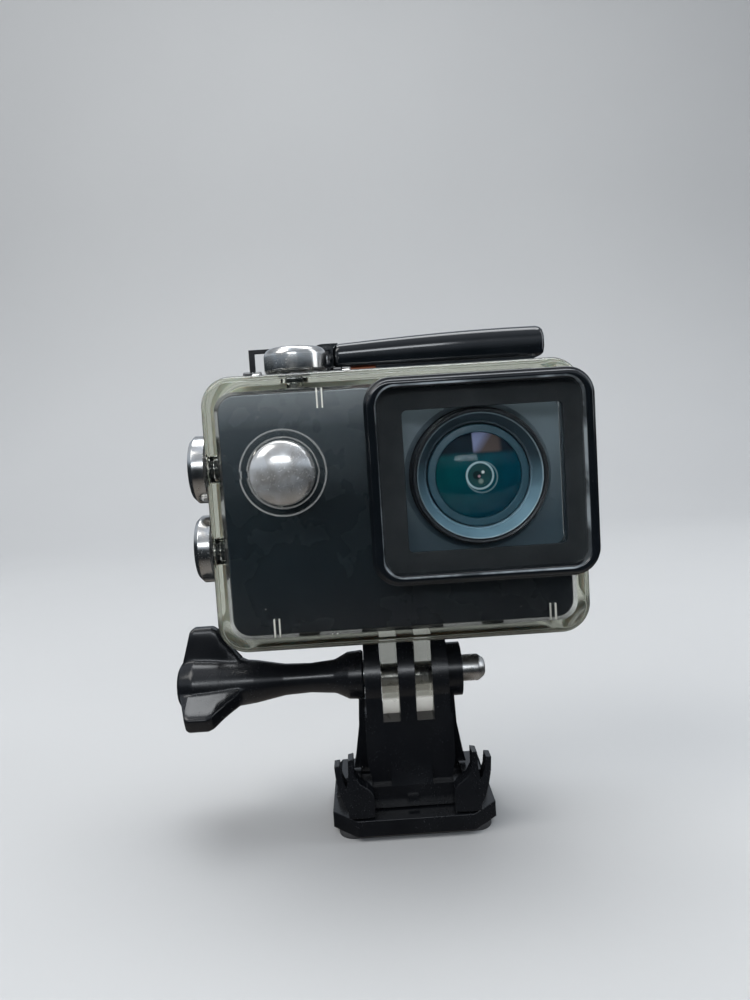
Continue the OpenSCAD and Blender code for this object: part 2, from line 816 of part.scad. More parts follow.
module power_key() { color("#2b2f33") at_front() camera_key(wall, 2.8); }
module shutter_key() { color("#2b2f33") at_top() camera_key(top_wall, 1.7); }
module up_key() { color("#2b2f33") at_upper() camera_key(wall, 1.5); }
module down_key() { color("#2b2f33") at_lower() camera_key(wall, 1.5); }

adhesive_pad();
base_plate();
quick_release_buckle();
release_arm_left();
release_arm_right();
clamp_nut();
thumb_knob();
thumb_bolt();
front_shell();
lens_bezel();
lens_window();
window_seal();
rear_door();
door_gasket();
hinge_pins();
latch_pins();
latch_hook();
lever_pin();
latch_lever();
latch_lock();
front_button();
front_button_spring();
front_button_clip();
top_button();
top_button_spring();
top_button_clip();
upper_side_button();
upper_side_button_spring();
upper_side_button_clip();
lower_side_button();
lower_side_button_spring();
lower_side_button_clip();
button_o_rings();
camera_front_cover();
camera_rear_cover();
camera_faceplate();
lens_surround();
lens_housing();
lens_trim_ring();
lens_retainer();
lens_front_element();
lens_barrel();
lens_rear_element();
image_sensor();
sensor_board();
main_board();
battery();
battery_door();
display_panel();
display_glass();
speaker();
memory_card();
camera_screws();
power_key();
shutter_key();
up_key();
down_key();
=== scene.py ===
"""Looks of the action camera in its clear housing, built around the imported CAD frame."""
import json
import math

import bmesh
import bpy
import numpy as np
from mathutils import Matrix, Vector


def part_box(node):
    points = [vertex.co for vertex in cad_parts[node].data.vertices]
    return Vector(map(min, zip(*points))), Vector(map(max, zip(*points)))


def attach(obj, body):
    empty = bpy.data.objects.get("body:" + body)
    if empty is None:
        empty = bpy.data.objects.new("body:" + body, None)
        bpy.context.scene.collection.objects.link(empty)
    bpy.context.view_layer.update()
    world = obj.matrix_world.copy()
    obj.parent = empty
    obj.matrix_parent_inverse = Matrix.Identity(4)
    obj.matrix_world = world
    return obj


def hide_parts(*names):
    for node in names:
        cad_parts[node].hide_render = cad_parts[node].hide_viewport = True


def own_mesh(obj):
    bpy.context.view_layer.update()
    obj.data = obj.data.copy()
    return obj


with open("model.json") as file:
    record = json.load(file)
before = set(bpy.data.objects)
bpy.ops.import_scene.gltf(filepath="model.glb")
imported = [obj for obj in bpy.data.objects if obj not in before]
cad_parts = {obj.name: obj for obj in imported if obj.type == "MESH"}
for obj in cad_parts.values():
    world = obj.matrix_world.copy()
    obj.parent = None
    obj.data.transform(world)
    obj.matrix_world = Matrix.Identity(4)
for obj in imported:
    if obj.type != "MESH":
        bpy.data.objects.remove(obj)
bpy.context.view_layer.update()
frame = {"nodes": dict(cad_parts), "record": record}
MM = 0.001
SLOTS = {part["node"]: part["material_slot"] for part in frame["record"]["subparts"]}
BODIES = {n: body for body, names in frame["record"]["behaviour"]["bodies"].items() for n in names}


def mm_box(node):
    """Lowest and highest corner of a CAD node, in millimetres."""
    lo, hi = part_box(node)
    return lo / MM, hi / MM


def middle(node):
    lo, hi = mm_box(node)
    return (lo + hi) / 2


# ---------------------------------------------------------------- mesh helpers


def make_object(name, bm, smooth=38):
    """Turns a bmesh in millimetres into an object in metres, smooth except at sharp edges."""
    bmesh.ops.recalc_face_normals(bm, faces=bm.faces)
    bmesh.ops.scale(bm, vec=(MM, MM, MM), verts=bm.verts)
    mesh = bpy.data.meshes.new(name)
    bm.to_mesh(mesh)
    bm.free()
    mesh.shade_smooth()
    mesh.set_sharp_from_angle(angle=math.radians(smooth))
    obj = bpy.data.objects.new(name, mesh)
    bpy.context.scene.collection.objects.link(obj)
    return obj


def settle(obj, material, node, *more):
    """Rides a finished piece on its node's body, in the node's place, with its material."""
    obj.data.materials.clear()
    obj.data.materials.append(material)
    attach(obj, BODIES[node])
    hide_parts(node, *more)
    return obj


def skin(rings, closed=False, caps=True):
    """Joins rings of points into one surface; closed joins the last ring to the first."""
    bm = bmesh.new()
    made = []
    for ring in rings:
        first = Vector(ring[0])
        if all((Vector(p) - first).length < 1e-6 for p in ring):
            made.append([bm.verts.new(first)])
        else:
            made.append([bm.verts.new(p) for p in ring])
    pairs = list(zip(made, made[1:]))
    if closed:
        pairs.append((made[-1], made[0]))
    for a, b in pairs:
        count = max(len(a), len(b))
        for i in range(count):
            j = (i + 1) % count
            corners = []
            for v in (a[i % len(a)], a[j % len(a)], b[j % len(b)], b[i % len(b)]):
                if v not in corners:
                    corners.append(v)
            if len(corners) > 2:
                bm.faces.new(corners)
    if caps and not closed:
        for ring in (made[0], made[-1]):
            if len(ring) > 2:
                bm.faces.new(ring)
    return bm


def soften(points, closed=False, steps=4):
    """Rounds the corners of a flat outline: each point is (x, y) or (x, y, radius)."""
    out = []
    count = len(points)
    for i, p in enumerate(points):
        here = Vector(p[:2])
        radius = p[2] if len(p) > 2 else 0
        if radius <= 0 or (not closed and i in (0, count - 1)):
            out.append(here)
            continue
        a = Vector(points[i - 1][:2]) - here
        b = Vector(points[(i + 1) % count][:2]) - here
        half = a.angle(b) / 2
        reach = min(radius / math.tan(half), a.length * 0.49, b.length * 0.49)
        start, end = here + a.normalized() * reach, here + b.normalized() * reach
        for k in range(steps + 1):
            t = k / steps
            out.append(start * (1 - t) ** 2 + here * 2 * t * (1 - t) + end * t ** 2)
    return [(p.x, p.y) for p in out]


def circle_ring(radius, height, count):
    return [(radius * math.cos(2 * math.pi * i / count),
             radius * math.sin(2 * math.pi * i / count), height) for i in range(count)]


def rect_ring(w, h, r, depth, corner=8, at=(0, 0)):
    """A rectangle with round corners in the plane z = depth, centred on a point."""
    ring = []
    for sx, sz, start in ((1, 1, 0), (-1, 1, 90), (-1, -1, 180), (1, -1, 270)):
        for i in range(corner + 1):
            a = math.radians(start + 90 * i / corner)
            ring.append((at[0] + sx * (w / 2 - r) + r * math.cos(a),
                         at[1] + sz * (h / 2 - r) + r * math.sin(a), depth))
    return ring


def lathe(outline, count=96):
    """Turns an outline of (radius, height) about Z."""
    return skin([circle_ring(r, z, count) for r, z in outline], caps=False)


def aim(bm, place, direction):
    """Turns a bmesh's +Z to a direction and moves it."""
    turn = Vector((0, 0, 1)).rotation_difference(Vector(direction)).to_matrix().to_4x4()
    bmesh.ops.transform(bm, matrix=Matrix.Translation(place) @ turn, verts=bm.verts)
    return bm


def facing(bm, x, z):
    """Stands a bmesh drawn in XY with +Z as depth up, so that +Z becomes -Y, at x and z."""
    turn = Matrix(((1, 0, 0, x), (0, 0, -1, 0), (0, 1, 0, z), (0, 0, 0, 1)))
    bmesh.ops.transform(bm, matrix=turn, verts=bm.verts)
    return bm


def cad_copy(node):
    """A bmesh of a CAD node in millimetres, its seams welded and its flat faces whole."""
    bm = bmesh.new()
    bm.from_mesh(frame["nodes"][node].data)
    bmesh.ops.scale(bm, vec=(1 / MM,) * 3, verts=bm.verts)
    bmesh.ops.remove_doubles(bm, verts=bm.verts, dist=0.003)
    bmesh.ops.dissolve_limit(bm, angle_limit=math.radians(0.7), verts=bm.verts, edges=bm.edges)
    return bm


def round_edges(bm, width, segments=3, angle=30, choose=None):
    """Rounds the sharp edges of a bmesh, or only those that choose accepts by their middle."""
    edges = []
    for e in bm.edges:
        if len(e.link_faces) == 2 and e.calc_face_angle(0) > math.radians(angle):
            if choose is None or choose((e.verts[0].co + e.verts[1].co) / 2):
                edges.append(e)
    bmesh.ops.bevel(bm, geom=edges, offset=width, offset_type="OFFSET", segments=segments,
                    profile=0.5, affect="EDGES", clamp_overlap=True)
    return bm


def carve(node, material, width, segments=3):
    """The CAD node's own shape with its edges rounded as a mould would."""
    obj = make_object(node + "_skin", round_edges(cad_copy(node), width, segments))
    obj.modifiers.new("normals", "WEIGHTED_NORMAL").keep_sharp = True
    return settle(obj, material, node)


# ---------------------------------------------------------------- materials


class Surface:
    """A material built node by node around one Principled shader."""

    def __init__(self, name, **sockets):
        self.material = bpy.data.materials.new(name)
        self.material.use_nodes = True
        self.tree = self.material.node_tree
        self.shader = self.tree.nodes["Principled BSDF"]
        for key, value in sockets.items():
            self.shader.inputs[key.replace("_", " ")].default_value = value
        self.place = self.tree.nodes.new("ShaderNodeTexCoord").outputs["Object"]

    def link(self, source, target):
        if hasattr(source, "is_output"):
            self.tree.links.new(source, target)
        else:
            target.default_value = source

    def node(self, kind, settings=None, **inputs):
        made = self.tree.nodes.new(kind)
        for key, value in (settings or {}).items():
            setattr(made, key, value)
        for key, value in inputs.items():
            self.link(value, made.inputs[key.replace("_", " ")])
        return made

    def stretch(self, scale, turn=(0, 0, 0)):
        made = self.node("ShaderNodeMapping", Vector=self.place, Scale=scale)
        made.inputs["Rotation"].default_value = [math.radians(a) for a in turn]
        return made.outputs["Vector"]

    def noise(self, size_mm, detail=3.0, distortion=0.0, place=None):
        """Noise whose blobs are about size_mm across."""
        made = self.node("ShaderNodeTexNoise", Vector=place or self.place, Scale=1 / (size_mm * MM),
                         Detail=detail, Distortion=distortion)
        return made.outputs["Fac"]

    def ramp(self, value, low, high, start=0.0, end=1.0):
        """Maps start..end of a value to low..high, and holds it there."""
        made = self.node("ShaderNodeMapRange", Value=value)
        for key, number in (("From Min", start), ("From Max", end), ("To Min", low),
                            ("To Max", high)):
            made.inputs[key].default_value = number
        return made.outputs["Result"]

    def calc(self, kind, a, b):
        made = self.node("ShaderNodeMath", {"operation": kind})
        self.link(a, made.inputs[0])
        self.link(b, made.inputs[1])
        return made.outputs[0]

    def mix(self, share, a, b):
        made = self.node("ShaderNodeMix", {"data_type": "RGBA"})
        self.link(share, made.inputs["Factor"])
        self.link(a, made.inputs["A"])
        self.link(b, made.inputs["B"])
        return made.outputs["Result"]

    def scratches(self, turn, level):
        """Thin straight lines along one direction; a higher level leaves fewer of them."""
        lines = self.noise(1, 2.0, 0.4, self.stretch((3.2, 0.12, 3.2), turn))
        gaps = self.noise(7, 2.0)
        fine = self.ramp(lines, 0, 1, level, level + 0.03)
        return self.calc("MULTIPLY", fine, self.ramp(gaps, 0, 1, 0.45, 0.6))

    def specks(self, size_mm, share):
        """Small round dots of dust."""
        cells = self.node("ShaderNodeTexVoronoi", Vector=self.place, Scale=1 / (size_mm * MM))
        dots = self.ramp(cells.outputs["Distance"], 1, 0, 0.06, 0.13)
        some = self.ramp(self.noise(size_mm * 2.4, 1.0), 0, 1, 1 - share, 1.04 - share)
        return self.calc("MULTIPLY", dots, some)

    def axes(self):
        parts = self.node("ShaderNodeSeparateXYZ", Vector=self.place)
        return [parts.outputs[axis] for axis in "XYZ"]

    def away(self, x, z):
        """Distance from the line along Y through x and z (in metres)."""
        px, _, pz = self.axes()
        made = self.node("ShaderNodeVectorMath", {"operation": "DISTANCE"})
        self.link(self.node("ShaderNodeCombineXYZ", X=px, Z=pz).outputs[0], made.inputs[0])
        made.inputs[1].default_value = (x, 0, z)
        return made.outputs["Value"]

    def line(self, value, at_mm, half_mm, level=1.0):
        """A soft thin line where a value in metres equals at_mm."""
        off = self.calc("ABSOLUTE", self.calc("SUBTRACT", value, at_mm * MM), 0)
        return self.ramp(off, level, 0, half_mm * 0.4 * MM, half_mm * MM)

    def outside(self, node, r_mm):
        """Signed distance from a node's outline (round corners of r_mm) seen along Y."""
        lo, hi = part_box(node)
        x, _, z = self.axes()
        parts = []
        for value, a, b in ((x, lo.x, hi.x), (z, lo.z, hi.z)):
            off = self.calc("ABSOLUTE", self.calc("SUBTRACT", value, (a + b) / 2), 0)
            parts.append(self.calc("SUBTRACT", off, (b - a) / 2 - r_mm * MM))
        far = self.node("ShaderNodeVectorMath", {"operation": "LENGTH"})
        self.link(self.node("ShaderNodeCombineXYZ", X=self.calc("MAXIMUM", parts[0], 0),
                            Z=self.calc("MAXIMUM", parts[1], 0)).outputs[0], far.inputs[0])
        near = self.calc("MINIMUM", self.calc("MAXIMUM", *parts), 0)
        return self.calc("SUBTRACT", self.calc("ADD", far.outputs["Value"], near), r_mm * MM)

    def bump(self, height, depth_mm, strength=1.0, under=None):
        made = self.node("ShaderNodeBump", Height=height, Distance=depth_mm * MM,
                         Strength=strength)
        if under is not None:
            self.link(under, made.inputs["Normal"])
        return made.outputs["Normal"]

    def set(self, socket, value):
        self.link(value, self.shader.inputs[socket])


def worn(name, dark, light, rough, patch=9.0, grain=(0.25, 0.006), scratch=0.64, dust=0.0,
         scratch_tone=None, **sockets):
    """A solid surface with uneven tone, a fine grain, scratches and dust."""
    s = Surface(name, **sockets)
    cloud = s.noise(patch, 4.0, 0.3)
    tone = s.mix(s.ramp(cloud, 0, 1, 0.3, 0.7), (*dark, 1), (*light, 1))
    marks = s.calc("ADD", s.scratches((0, 12, 24), scratch), s.scratches((64, -20, 75), scratch))
    if scratch_tone:
        tone = s.mix(s.calc("MULTIPLY", marks, 0.5), tone, (*scratch_tone, 1))
    if dust:
        dots = s.specks(1.1, dust)
        tone = s.mix(s.calc("MULTIPLY", dots, 0.75), tone, (0.5, 0.5, 0.48, 1))
        marks = s.calc("ADD", marks, dots)
    s.set("Base Color", tone)
    even = s.ramp(s.noise(patch * 0.6, 5.0), rough[0], rough[1], 0.3, 0.7)
    s.set("Roughness", s.calc("ADD", even, s.calc("MULTIPLY", marks, 0.12)))
    fine = s.bump(s.noise(grain[0], 2.0), grain[1])
    s.set("Normal", s.bump(marks, 0.004, 0.6, fine))
    return s.material


# Millimetres in the CAD frame for the painted glow and painted highlights in the clear plastic and
# the bezel's bright line: the ribs behind the shell's front wall, each rib's half width, the depth
# that shows their edges, the collar's front, the bezel's face, and the fingers' ends
RIBS = (-12.1, -21.9, 25.6)
RIB_HALF = 0.45
RIB_DEPTH = (-13.75, -13.7, -13.1, -13.0)
COLLAR_FRONT = (-16.2, -16.0)
BEZEL_FACE = (-20.6, -20.4)
FINGER_ENDS = (24.0, 24.6)


def clear_plastic(name, tint, smudge=(0.015, 0.07)):
    """Polycarbonate: refracts, is faintly straw-coloured in depth and carries a little dust.

    Painted light: a painted glow, with no lamp behind it, stands for light piped down the walls
    to the fingers' ends, and painted highlights line the edges of the collar round the front button
    and the edges of the ribs behind the front wall. Painted shade darkens the shell's foot and the
    fingers below it."""
    s = Surface(name, IOR=1.5)
    x, y, z = s.axes()
    # Painted glow at the fingers' ends, fading upwards
    ends = s.calc("MULTIPLY", s.ramp(z, 1, 0, *(v * MM for v in FINGER_ENDS)),
                  s.ramp(s.noise(2), 0.8, 1))
    seat = middle("front_button") * MM
    radius = s.away(seat.x, seat.z)
    # Painted highlights: two thin bright rings on the collar's edges round the front button
    collar = s.calc("MAXIMUM", s.line(radius, 5.85, 0.2), s.line(radius, 7.12, 0.22))
    collar = s.calc("MULTIPLY", collar, s.ramp(y, 1, 0, *(v * MM for v in COLLAR_FRONT)))
    # Painted highlights along both edges of each rib behind the front wall
    sides = [s.line(x, rib + side, 0.22) for rib in RIBS for side in (-RIB_HALF, RIB_HALF)]
    ribs = sides[0]
    for side in sides[1:]:
        ribs = s.calc("MAXIMUM", ribs, side)
    a, b, c, d = (v * MM for v in RIB_DEPTH)
    ribs = s.calc("MULTIPLY", ribs, s.calc("MULTIPLY", s.ramp(y, 0, 1, a, b),
                                           s.ramp(y, 1, 0, c, d)))
    # The painted highlights on the collar and rib edges; the next mask adds the painted glow at the
    # fingers' ends
    edges = s.calc("MAXIMUM", s.calc("MULTIPLY", collar, 0.24), s.calc("MULTIPLY", ribs, 0.8))
    painted_light = s.calc("MAXIMUM", s.calc("MULTIPLY", ends, 0.7), edges)
    # Dust specks and the painted light both make the plastic pale and less clear
    dust_and_painted_light = s.calc("MAXIMUM", s.calc("MULTIPLY", s.specks(1.3, 0.29), 0.5), painted_light)
    foot = mm_box("door_gasket")[0].z * MM
    # Painted shade: from just above the door gasket's foot downwards, the shell's foot and the
    # fingers are tinted dark
    clear = s.mix(s.ramp(z, 0.62, 0, foot + 1.0 * MM, foot + 2.6 * MM),
                  (0.97, 0.975, 0.955, 1), (0.05, 0.05, 0.045, 1))
    # Base colour turns pale where the glow and the edge highlights are painted
    s.set("Base Color", s.mix(painted_light, clear, (0.72, 0.71, 0.67, 1)))
    s.set("Transmission Weight", s.calc("SUBTRACT", 1, dust_and_painted_light))
    even = s.ramp(s.noise(6, 4.0, 0.8), smudge[0], smudge[1], 0.42, 0.72)
    s.set("Roughness", s.calc("ADD", even, s.calc("MULTIPLY", painted_light, 0.4)))
    # Emission paints the glow at the fingers' ends and on the collar and rib edges; no lamp is
    # there
    s.set("Emission Color", (0.84, 0.83, 0.79, 1))
    s.set("Emission Strength", s.calc("ADD", s.calc("MULTIPLY", ends, 0.21),
                                      s.calc("MULTIPLY", edges, 0.13)))
    s.set("Normal", s.bump(s.noise(14, 1.0), 0.05, 0.35))
    tinted = s.node("ShaderNodeVolumeAbsorption")
    tinted.inputs["Color"].default_value = (*tint, 1)
    tinted.inputs["Density"].default_value = 42
    output = s.tree.nodes["Material Output"]
    s.tree.links.new(tinted.outputs["Volume"], output.inputs["Volume"])
    return s.material


def window_glass():
    s = Surface("window_glass", Base_Color=(0.93, 0.965, 0.98, 1), IOR=1.45)
    smear = s.noise(9, 4.0, 1.6)
    s.set("Roughness", s.ramp(smear, 0.0, 0.05, 0.45, 0.75))
    s.set("Transmission Weight", s.ramp(s.specks(1.2, 0.29), 1.0, 0.6))
    s.set("Normal", s.bump(s.noise(12, 1.0), 0.01, 0.2))
    return s.material


def lens_coating():
    """Teal multi-coated glass with painted light: a painted reflection of the room near the top (a
    dark band, a window and a brown patch), painted shade low down, painted glints, and the rings of
    the inner elements painted bright as highlights.
    """
    s = Surface("lens_coating", IOR=1.45, Specular_IOR_Level=0.22)
    axis = middle("lens_front_element") * MM
    x, _, z = s.axes()
    radius = s.away(axis.x, axis.z)
    side = s.ramp(x, 0, 1, axis.x - 6 * MM, axis.x + 5 * MM)
    teal = s.mix(side, (0.0, 0.062, 0.066, 1), (0.0, 0.050, 0.078, 1))
    teal = s.mix(s.ramp(s.noise(5, 2.0, 0.5), 0, 0.5, 0.35, 0.65), teal, (0.0, 0.040, 0.052, 1))
    # Painted shade: the glass darkens towards its bottom
    low = s.ramp(z, 1, 0, axis.z - 7 * MM, axis.z - 1 * MM)
    deep = s.mix(s.calc("MULTIPLY", low, 0.55), teal, (0.0, 0.028, 0.055, 1))
    # Painted reflection: a dark band of the room across the top of the glass
    dark_top_reflection = s.ramp(z, 0, 0.9, axis.z + 3.3 * MM, axis.z + 4.1 * MM)
    deep = s.mix(dark_top_reflection, deep, (0.006, 0.009, 0.016, 1))
    # Painted reflection of a window near the top
    pane = s.calc("MULTIPLY", s.ramp(x, 0, 1, axis.x - 1.0 * MM, axis.x - 0.7 * MM),
                  s.ramp(x, 1, 0, axis.x + 3.4 * MM, axis.x + 4.2 * MM))
    pane = s.calc("MULTIPLY", pane, s.ramp(z, 0, 0.8, axis.z + 3.6 * MM, axis.z + 4.1 * MM))
    # The painted window reflection is lavender towards its upper left and brown towards its lower
    # right
    warm = s.ramp(s.calc("SUBTRACT", x, s.calc("MULTIPLY", z, 0.8)), 0, 1,
                  axis.x - 0.8 * axis.z - 4.6 * MM, axis.x - 0.8 * axis.z - 2.6 * MM)
    deep = s.mix(pane, deep, s.mix(warm, (0.30, 0.33, 0.52, 1), (0.115, 0.082, 0.07, 1)))
    deep = s.mix(s.ramp(radius, 0.9, 0, 1.6 * MM, 2.2 * MM), deep, (0.02, 0.06, 0.06, 1))
    deep = s.mix(s.ramp(s.away(axis.x - 0.5 * MM, axis.z + 0.1 * MM), 0.8, 0, 0.6 * MM, 0.8 * MM),
                 deep, (0.005, 0.012, 0.014, 1))
    # The rings of the inner elements, painted bright as highlights
    lines = s.calc("MAXIMUM", s.line(radius, 2.2, 0.22, 0.9),
                   s.line(s.away(axis.x + 0.35 * MM, axis.z - 0.3 * MM), 2.55, 0.18, 0.35))
    deep = s.mix(lines, deep, (0.42, 0.55, 0.57, 1))
    # Painted glints: a white, a pink and a pale green highlight on the glass
    for dx, dz, size, level, tone in ((0.5, 0.55, 0.34, 0.9, (0.80, 0.82, 0.80, 1)),
                                      (-0.15, -0.1, 0.3, 0.8, (0.62, 0.36, 0.40, 1)),
                                      (0.1, -0.95, 0.55, 0.5, (0.40, 0.48, 0.42, 1))):
        glint = s.ramp(s.away(axis.x + dx * MM, axis.z + dz * MM), level, 0,
                      size * 0.4 * MM, size * MM)
        deep = s.mix(glint, deep, tone)
    s.set("Base Color", deep)
    s.set("Roughness", s.ramp(s.noise(3, 3.0), 0.03, 0.09))
    s.set("Normal", s.bump(s.noise(8, 1.0), 0.01, 0.2))
    return s.material


def faceplate_panel():
    """Blue-black front panel with a painted sheen towards its top and a painted highlight along its
    top edge, and a few specks of dust.
    """
    s = Surface("faceplate", Specular_IOR_Level=0.3)
    lo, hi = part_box("camera_faceplate")
    _, _, z = s.axes()
    cloud = s.noise(16, 4.0, 0.3)
    tone = s.mix(s.ramp(cloud, 0, 1, 0.3, 0.7), (0.006, 0.010, 0.014, 1),
                 (0.010, 0.017, 0.022, 1))
    # Painted sheen: the panel turns slate-blue towards its top, a painted reflection of the room
    sheen = s.ramp(z, 0, 0.5, hi.z - 19 * MM, hi.z - 5 * MM)
    tone = s.mix(sheen, tone, (0.085, 0.105, 0.125, 1))
    # Painted highlight: a pale line along the top edge
    tone = s.mix(s.ramp(z, 0, 0.6, hi.z - 6 * MM, hi.z - 0.8 * MM), tone, (0.24, 0.265, 0.29, 1))
    foot = s.ramp(z, 0.4, 0, lo.z, lo.z + 12 * MM)
    tone = s.mix(foot, tone, (0.022, 0.018, 0.018, 1))
    dots = s.specks(1.2, 0.31)
    s.set("Base Color", s.mix(s.calc("MULTIPLY", dots, 0.7), tone, (0.4, 0.4, 0.39, 1)))
    s.set("Roughness", s.ramp(s.noise(10, 5.0), 0.22, 0.32, 0.3, 0.7))
    s.set("Normal", s.bump(s.noise(0.12, 2.0), 0.002))
    return s.material


def gloss_black():
    """Polished black plastic; the bezel's inner edge shows a thin bright line, broken up along its
    length.
    """
    s = Surface("gloss_black", Coat_Weight=0.3, Coat_Roughness=0.05)
    cloud = s.noise(9, 4.0, 0.3)
    tone = s.mix(s.ramp(cloud, 0, 1, 0.3, 0.7), (0.003, 0.0045, 0.006, 1),
                 (0.006, 0.008, 0.011, 1))
    marks = s.calc("ADD", s.scratches((0, 12, 24), 0.70), s.scratches((64, -20, 75), 0.70))
    tone = s.mix(s.calc("MULTIPLY", s.specks(1.1, 0.27), 0.7), tone, (0.4, 0.4, 0.39, 1))
    _, y, _ = s.axes()
    edge = s.line(s.outside("lens_window", 3.0), 0.12, 0.2)
    edge = s.calc("MULTIPLY", edge, s.ramp(y, 1, 0, *(v * MM for v in BEZEL_FACE)))
    edge = s.calc("MULTIPLY", edge, s.ramp(s.noise(7, 4.0), 0.15, 0.9, 0.42, 0.6))
    tone = s.mix(edge, tone, (0.42, 0.47, 0.50, 1))
    s.set("Base Color", tone)
    s.set("Roughness", s.calc("ADD", s.ramp(s.noise(5, 5.0), 0.07, 0.14, 0.3, 0.7),
                              s.calc("MULTIPLY", marks, 0.1)))
    s.set("Normal", s.bump(marks, 0.003, 0.5, s.bump(s.noise(0.25, 2.0), 0.002)))
    return s.material


def turned_metal(name, tone, rough, rubbed=None):
    """Plated or turned metal with smudges, scratches and small pits.

    The front cap of the rubbed node is dulled, most of all on its left."""
    s = Surface(name, Metallic=1.0)
    cloud = s.noise(2.6, 4.0, 0.5)
    low = tuple(tone * c * 0.86 for c in (1.0, 0.97, 0.92))
    high = tuple(min(1.0, tone * c * 1.06) for c in (0.97, 0.99, 1.0))
    s.set("Base Color", s.mix(s.ramp(cloud, 0, 1, 0.35, 0.65), (*low, 1), (*high, 1)))
    marks = s.calc("ADD", s.scratches((20, 40, 10), 0.65), s.specks(0.9, 0.33))
    even = s.ramp(s.noise(1.7, 5.0), rough[0], rough[1], 0.3, 0.7)
    s.set("Roughness", s.calc("ADD", even, s.calc("MULTIPLY", marks, 0.18)))
    s.set("Normal", s.bump(marks, 0.004, 0.7, s.bump(s.noise(0.3, 2.0), 0.0015)))
    if rubbed:
        seat = middle(rubbed) * MM
        x, _, z = s.axes()
        dull = s.calc("MULTIPLY", s.ramp(s.away(seat.x, seat.z), 1, 0, 5.2 * MM, 5.7 * MM),
                      s.ramp(z, 0.1, 1, seat.z - 5 * MM, seat.z - 0.5 * MM))
        left = s.ramp(x, 1, 0.6, seat.x - 5 * MM, seat.x + 4 * MM)
        dull = s.calc("MULTIPLY", dull, s.calc("MULTIPLY", left, s.ramp(cloud, 0.75, 1, 0.4, 0.6)))
        s.set("Metallic", s.calc("SUBTRACT", 1, s.calc("MULTIPLY", dull, 0.5)))
    return s.material


def ring_grey():
    """Blue-grey rings round the lens: painted shade darkens the cone towards its top, so it pales
    towards its foot, and a painted highlight lines its rim; the retainer is darker; painted shade
    darkens the plate towards its bottom.
    """
    s = Surface("grey_plastic")
    axis = middle("lens_front_element") * MM
    radius = s.away(axis.x, axis.z)
    _, _, z = s.axes()
    cloud = s.ramp(s.noise(4, 4.0, 0.3), 0, 1, 0.3, 0.7)
    cone = s.mix(cloud, (0.14, 0.25, 0.31, 1), (0.20, 0.34, 0.42, 1))
    # Painted shade on the cone's upper part
    shade = s.ramp(z, 0, 0.88, axis.z - 5 * MM, axis.z + 3 * MM)
    cone = s.mix(shade, cone, (0.012, 0.016, 0.02, 1))
    inner = s.mix(cloud, (0.018, 0.062, 0.085, 1), (0.028, 0.085, 0.115, 1))
    tone = s.mix(s.ramp(radius, 0, 1, 8.6 * MM, 8.7 * MM), inner, cone)
    # Painted highlight: a thin bright line on the cone's outer rim
    tone = s.mix(s.line(radius, 10.42, 0.16, 0.55), tone, (0.42, 0.50, 0.54, 1))
    # Painted shade: the plate darkens towards its bottom
    plate = s.mix(s.ramp(z, 0, 1, axis.z - 9 * MM, axis.z + 5 * MM), (0.045, 0.075, 0.095, 1),
                  (0.17, 0.215, 0.24, 1))
    dots = s.calc("MULTIPLY", s.specks(1.1, 0.3), 0.6)
    plate = s.mix(dots, plate, (0.5, 0.5, 0.48, 1))
    tone = s.mix(s.ramp(radius, 0, 1, 11.4 * MM, 11.45 * MM), tone, plate)
    s.set("Base Color", tone)
    s.set("Roughness", s.ramp(s.noise(2.4, 5.0), 0.36, 0.5, 0.3, 0.7))
    s.set("Normal", s.bump(s.noise(0.14, 2.0), 0.008))
    return s.material


def circuit_board():
    """Green laminate with a rough pattern of tracks and pads."""
    s = Surface("circuit_board", Coat_Weight=0.3)
    cells = s.node("ShaderNodeTexVoronoi", {"distance": "MANHATTAN", "feature": "F1"},
                   Vector=s.place, Scale=1 / (2.2 * MM))
    tracks = s.ramp(cells.outputs["Distance"], 0, 1, 0.30, 0.34)
    s.set("Base Color", s.mix(tracks, (0.012, 0.075, 0.035, 1), (0.02, 0.11, 0.05, 1)))
    s.set("Roughness", s.ramp(s.noise(1.0, 3.0), 0.35, 0.55))
    s.set("Normal", s.bump(tracks, 0.02, 0.6))
    return s.material


